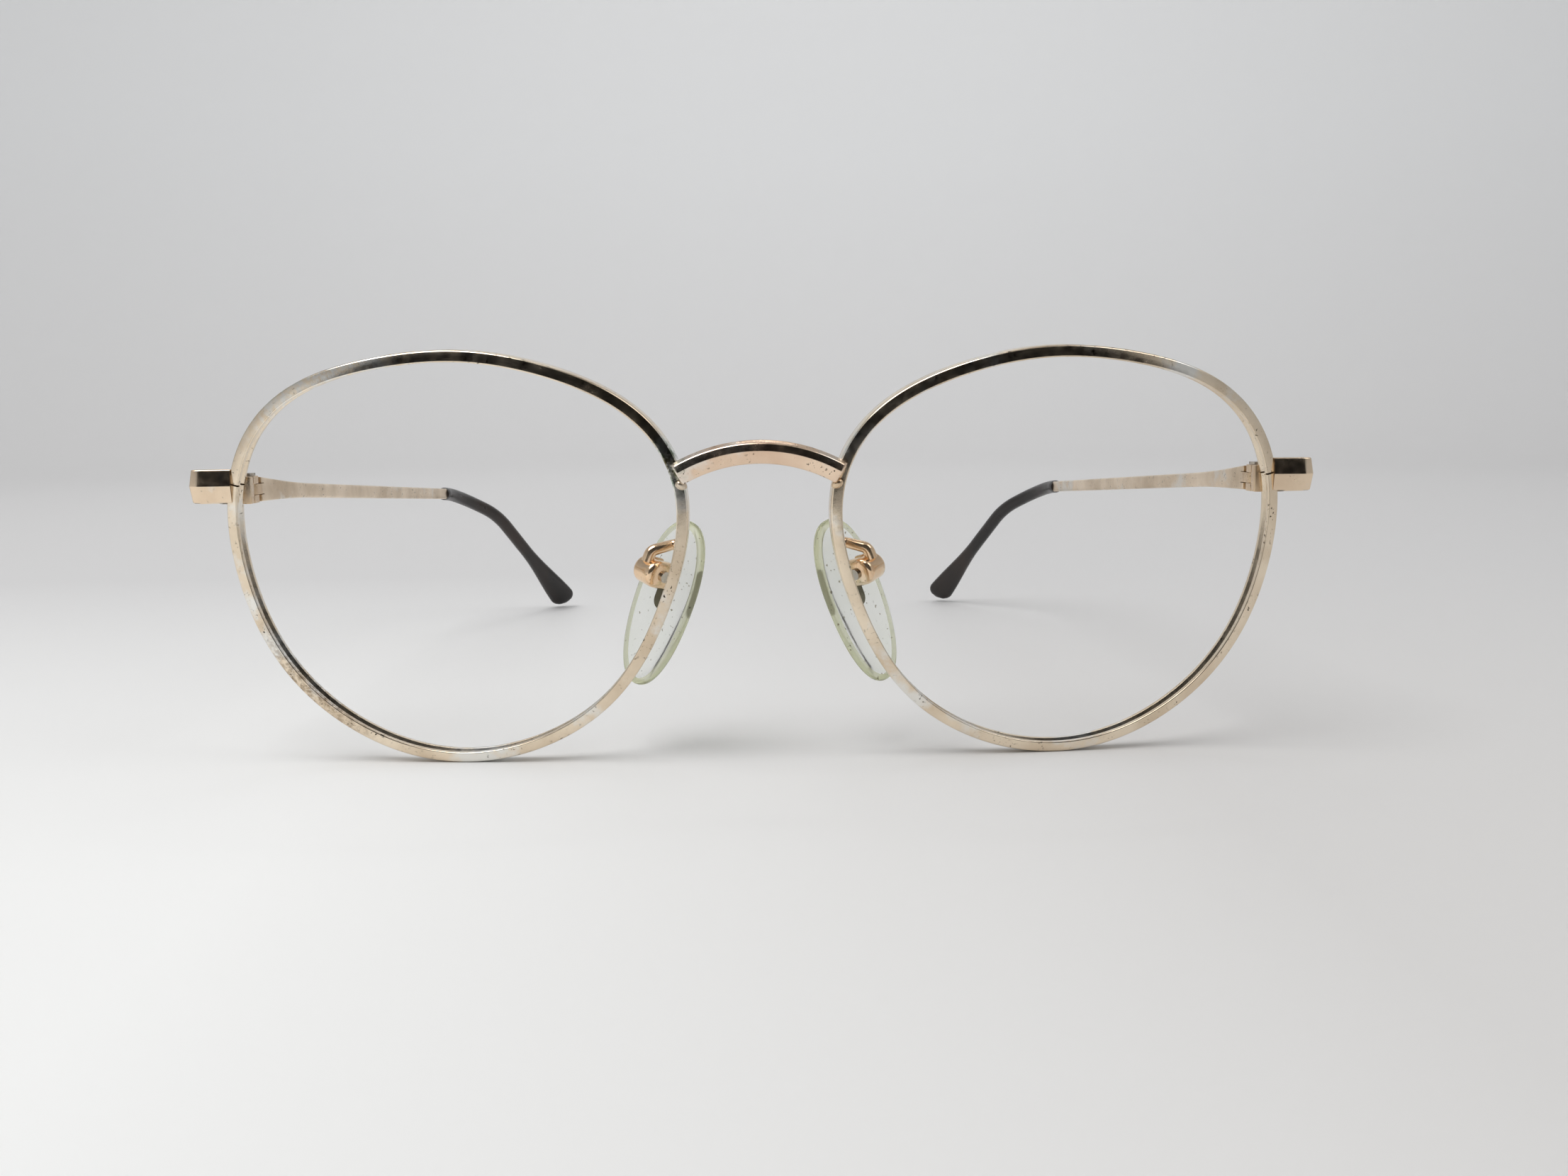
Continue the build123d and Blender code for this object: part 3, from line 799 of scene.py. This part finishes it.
# ---- nose pads -----------------------------------------------------------------------------------
PAD_CENTRE = Vector((12.05, 9.0, 19.1))
PAD_LEAN = radians(20.5)
PAD_SPLAY = radians(42.0)
PAD_HALF = 10.75  # half its length
PAD_HALF_WIDTH = 5.0
PAD_HALF_THICK = 1.1
PAD_POWER = 2.25  # of the outline, slightly squarer than an ellipse
PAD_NARROWING = 0.06  # towards the foot
PAD_LAYERS = 22
PAD_POINTS = 64
PAD_EDGE = 6  # layers of the clear face before the tinted rim
TAB_OFFSET = 3.6
TAB_DEPTH = PAD_HALF_THICK + 1.8
pad_up = Vector((-sin(PAD_LEAN), 0, cos(PAD_LEAN)))
pad_normal = Vector((-cos(PAD_SPLAY), sin(PAD_SPLAY), 0))
pad_normal = (pad_normal - pad_up * pad_normal.dot(pad_up)).normalized()
pad_across = pad_up.cross(pad_normal)
pad_turn = Matrix((pad_across, pad_up, pad_normal)).transposed().to_4x4()
pad_matrix = Matrix.Translation(PAD_CENTRE) @ pad_turn
box_centre = pad_matrix @ Vector((0, TAB_OFFSET, -TAB_DEPTH))
# x up the pad, y out of its back, z along the screw
BOX_HALF = 1.7
BOX_FRONT = -1.3
BOX_EASE = 0.62  # radius of its edges
DOME_START = 0.7
SLOT_HALF = 0.65
WIRE_RADIUS = 0.55
WIRE_SWELL = 0.2  # how much thicker the wire gets towards the holder
ARM_SEAT = 1.85
box_turn = Matrix((pad_up, -pad_normal, -pad_across)).transposed().to_4x4()
box_matrix = Matrix.Translation(box_centre) @ box_turn


def pad_shape():
    """A thick hard pad: an egg outline with well rounded edges."""
    rings = []
    for i in range(1, PAD_LAYERS):
        polar = pi * i / PAD_LAYERS
        reach = abs(sin(polar)) ** 0.45
        level = cos(polar)
        level = (1 if level > 0 else -1) * abs(level) ** 0.75
        ring = []
        for k in range(PAD_POINTS):
            turn = 2 * pi * k / PAD_POINTS
            a = cos(turn)
            b = sin(turn)
            stretch = (abs(a) ** PAD_POWER + abs(b) ** PAD_POWER) ** (-1 / PAD_POWER)
            x = PAD_HALF_WIDTH * a * stretch * reach * (1 + PAD_NARROWING * b)
            y = PAD_HALF * b * stretch * reach
            ring.append(pad_matrix @ Vector((x, y, PAD_HALF_THICK * level)))
        rings.append(ring)
    return skin(rings)


def pad_box_shape():
    """A small holder, open to the pad and domed at its outer end, every edge well rounded."""
    rings = []
    ease = BOX_EASE
    steps = 7
    turns = [pi / 2 * k / steps for k in range(steps + 1)]
    layers = [(-BOX_HALF + ease * (1 - sin(turn)), ease * (1 - cos(turn))) for turn in reversed(turns)]
    layers += [(BOX_HALF - ease * (1 - sin(turn)), ease * (1 - cos(turn))) for turn in turns]
    for level, inset in layers:
        half = BOX_HALF - inset
        corners = [(-half, BOX_FRONT + inset, 0.3), (half, BOX_FRONT + inset, 0.3)]
        outline = rounded(corners + [(half, DOME_START, 0), (-half, DOME_START, 0)], 0.3, 4)[:-2]
        dome = [pi * k / 16 for k in range(17)]
        outline += [(half * cos(turn), DOME_START + half * sin(turn)) for turn in dome]
        rings.append([box_matrix @ Vector((x, y, level)) for x, y in outline])
    return skin(rings)


def tab_slot():
    """The slot in the holder that the pad's tab sits in."""
    outline = [(-2, -2), (2, -2), (2, 1.0), (-2, 1.0)]
    return prism(outline, -SLOT_HALF, SLOT_HALF, 0.01, box_matrix)


ARM_ANGLE = pi - radians(0.8)
arm_root = outline_point(ARM_ANGLE, RIM_WIDTH / 2, RIM_DEPTH - 0.3)
arm_drop = box_matrix @ Vector((BOX_HALF + 0.8, ARM_SEAT, 0))
arm_foot = box_matrix @ Vector((BOX_HALF - 0.6, ARM_SEAT, 0))
ARM_POINTS = [arm_root, arm_root + Vector((0.2, 3.0, 0.2)), arm_drop, arm_foot]


def arm_shape():
    """A wire from behind the rim down to the holder."""
    path = rounded_path(ARM_POINTS, 1.0, 0.15)

    def section(_i, share):
        return circle(WIRE_RADIUS + WIRE_SWELL * share, 20)

    return skin(tube(path, section, Vector((0.3, 0.2, 1.0))))


for name, side in SIDES.items():
    pad = piece(
        f"{name}_soft_pad",
        pad_shape(),
        side,
        pad_clear,
        f"{name}_pad",
        [f"{name}_nose_pad"],
        sharp=60,
    )
    pad.data.materials.append(pad_edge)
    for face in pad.data.polygons:
        layer = face.index // PAD_POINTS
        if PAD_EDGE <= layer < PAD_LAYERS - 2 - PAD_EDGE:
            face.material_index = 1
    piece(
        f"{name}_pad_holder",
        pad_box_shape(),
        side,
        pad_gold,
        "frame",
        [f"{name}_pad_box"],
        cut=tab_slot(),
    )
    piece(
        f"{name}_pad_wire",
        arm_shape(),
        side,
        pad_gold,
        "frame",
        [f"{name}_pad_arm"],
        sharp=60,
    )

# ---- CAD pieces that keep their shape ------------------------------------------------------------
KEPT = {
    "lens": lens_clear,
    "rim_lock_upper": lug_gold,
    "rim_lock_lower": lug_gold,
    "rim_lock_screw": screw_steel,
    "hinge_screw": screw_steel,
    "pad_insert": insert_bronze,
    "pad_screw": screw_steel,
}
for name in SIDES:
    for node, material in KEPT.items():
        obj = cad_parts[f"{name}_{node}"]
        for slot_index in range(len(obj.material_slots)):
            obj.material_slots[slot_index].material = material

# ---- table, light and camera ---------------------------------------------------------------------
def studio_bowl():
    """A pale table whose far edge sweeps up all round into a wall, with painted light: brighter on the left,
    darker on the right and towards the back.
    """
    flat = 0.75
    rise = 0.5
    wall = 1.6
    profile = [(0.2, 0.0), (0.45, 0.0), (flat, 0.0)]
    for k in range(1, 13):
        turn = pi / 2 * k / 12
        profile.append((flat + rise * sin(turn), rise * (1 - cos(turn))))
    profile.append((flat + rise, wall))
    count = 72
    rings = []
    for reach, height in profile:
        rings.append([Vector((x, y, height)) for x, y in circle(reach, count)])
    verts = [p for ring in rings for p in ring]
    faces = []
    for i in range(len(rings) - 1):
        for k in range(count):
            m = (k + 1) % count
            faces.append((i * count + k, (i + 1) * count + k, (i + 1) * count + m, i * count + m))
    faces.append(tuple(range(count)))
    mesh = bpy.data.meshes.new("studio_bowl")
    mesh.from_pydata(verts, [], faces)
    mesh.shade_smooth()
    bowl = bpy.data.objects.new("studio_bowl", mesh)
    scene.collection.objects.link(bowl)
    material, nodes, links, shader = new_material("pale_table_painted_light")
    split = nodes.new("ShaderNodeSeparateXYZ")
    links.new(nodes.new("ShaderNodeTexCoord").outputs["Object"], split.inputs["Vector"])
    # painted light: the table is painted brighter on the left, where the key lamp stands, and darker on the
    # right
    across = ramp(nodes, links, split.outputs["X"], -0.05, 0.05)
    table = blend_colour(nodes, links, across, (0.90, 0.90, 0.89), (0.68, 0.67, 0.66))
    # painted shade: the table is painted darker towards the back
    far_painted_shade = ramp(nodes, links, split.outputs["Y"], -0.10, 0.12)
    table = blend_colour(nodes, links, far_painted_shade, table, (0.655, 0.65, 0.65))
    wall = ramp(nodes, links, split.outputs["Z"], 0.0, 0.3)
    links.new(blend_colour(nodes, links, wall, table, (0.69, 0.695, 0.70)), shader.inputs["Base Color"])
    shader.inputs["Roughness"].default_value = 0.6
    shader.inputs["Specular IOR Level"].default_value = 0.25
    mesh.materials.append(material)


studio_bowl()


def area_light(name, place, target, size, power):
    """A round lamp of a size in metres and a power in watts, turned to a target."""
    data = bpy.data.lights.new(name, "AREA")
    data.shape = "DISK"
    data.size = size
    data.energy = power
    light = bpy.data.objects.new(name, data)
    scene.collection.objects.link(light)
    light.location = place
    light.rotation_mode = "QUATERNION"
    light.rotation_quaternion = (Vector(target) - Vector(place)).to_track_quat("-Z", "Y")


area_light("key_light", (-0.38, -0.35, 0.9), (-0.05, -0.08, 0), 0.8, 6.4)
area_light("fill_light", (0.6, -0.3, 0.8), (0, 0, 0), 0.5, 1.2)
area_light("back_light", (0.05, 0.45, 0.95), (0, 1.25, 0.45), 0.4, 3.6)


def dark_board():
    """A dark board in front of the table, seen only in the reflections on the metal."""
    half = 0.20
    place = -0.27
    height = 0.35
    corners = [(-half, place, 0.0), (half, place, 0.0), (half, place, height), (-half, place, height)]
    mesh = bpy.data.meshes.new("dark_board")
    mesh.from_pydata([Vector(corner) for corner in corners], [], [(0, 1, 2, 3)])
    board = bpy.data.objects.new("dark_board", mesh)
    scene.collection.objects.link(board)
    board.visible_camera = False
    board.visible_diffuse = False
    board.visible_shadow = False
    board.visible_transmission = False
    material, nodes, links, shader = new_material("dark_board")
    shader.inputs["Base Color"].default_value = (0.012, 0.012, 0.012, 1)
    shader.inputs["Roughness"].default_value = 0.9
    shader.inputs["Specular IOR Level"].default_value = 0.0
    mesh.materials.append(material)


dark_board()
scene.view_settings.view_transform = "Standard"

world = bpy.data.worlds.new("studio")
scene.world = world
world.use_nodes = True
world.node_tree.nodes["Background"].inputs["Color"].default_value = (1, 1, 1, 1)
world.node_tree.nodes["Background"].inputs["Strength"].default_value = 0.40

CAMERA_SPOT = Vector((-2.18, -152.67, 43.51))  # in the design frame
YAW = radians(1.84)
PITCH = radians(8.01)
ROLL = radians(-0.57)
camera_data = bpy.data.cameras.new("camera")
camera_data.lens = 30.17
camera_data.sensor_width = 36.0
camera_data.clip_start = 0.005
camera_data.clip_end = 20.0
camera = bpy.data.objects.new("camera", camera_data)
scene.collection.objects.link(camera)
forward = Vector((sin(YAW) * cos(PITCH), cos(YAW) * cos(PITCH), -sin(PITCH)))
level_right = Vector((cos(YAW), -sin(YAW), 0))
level_up = level_right.cross(forward)
camera_right = level_right * cos(ROLL) + level_up * sin(ROLL)
camera_up = camera_right.cross(forward)
camera.matrix_world = Matrix.Translation((CAMERA_SPOT + origin) * MM) @ Matrix(
    (camera_right, camera_up, -forward)
).transposed().to_4x4()
scene.camera = camera
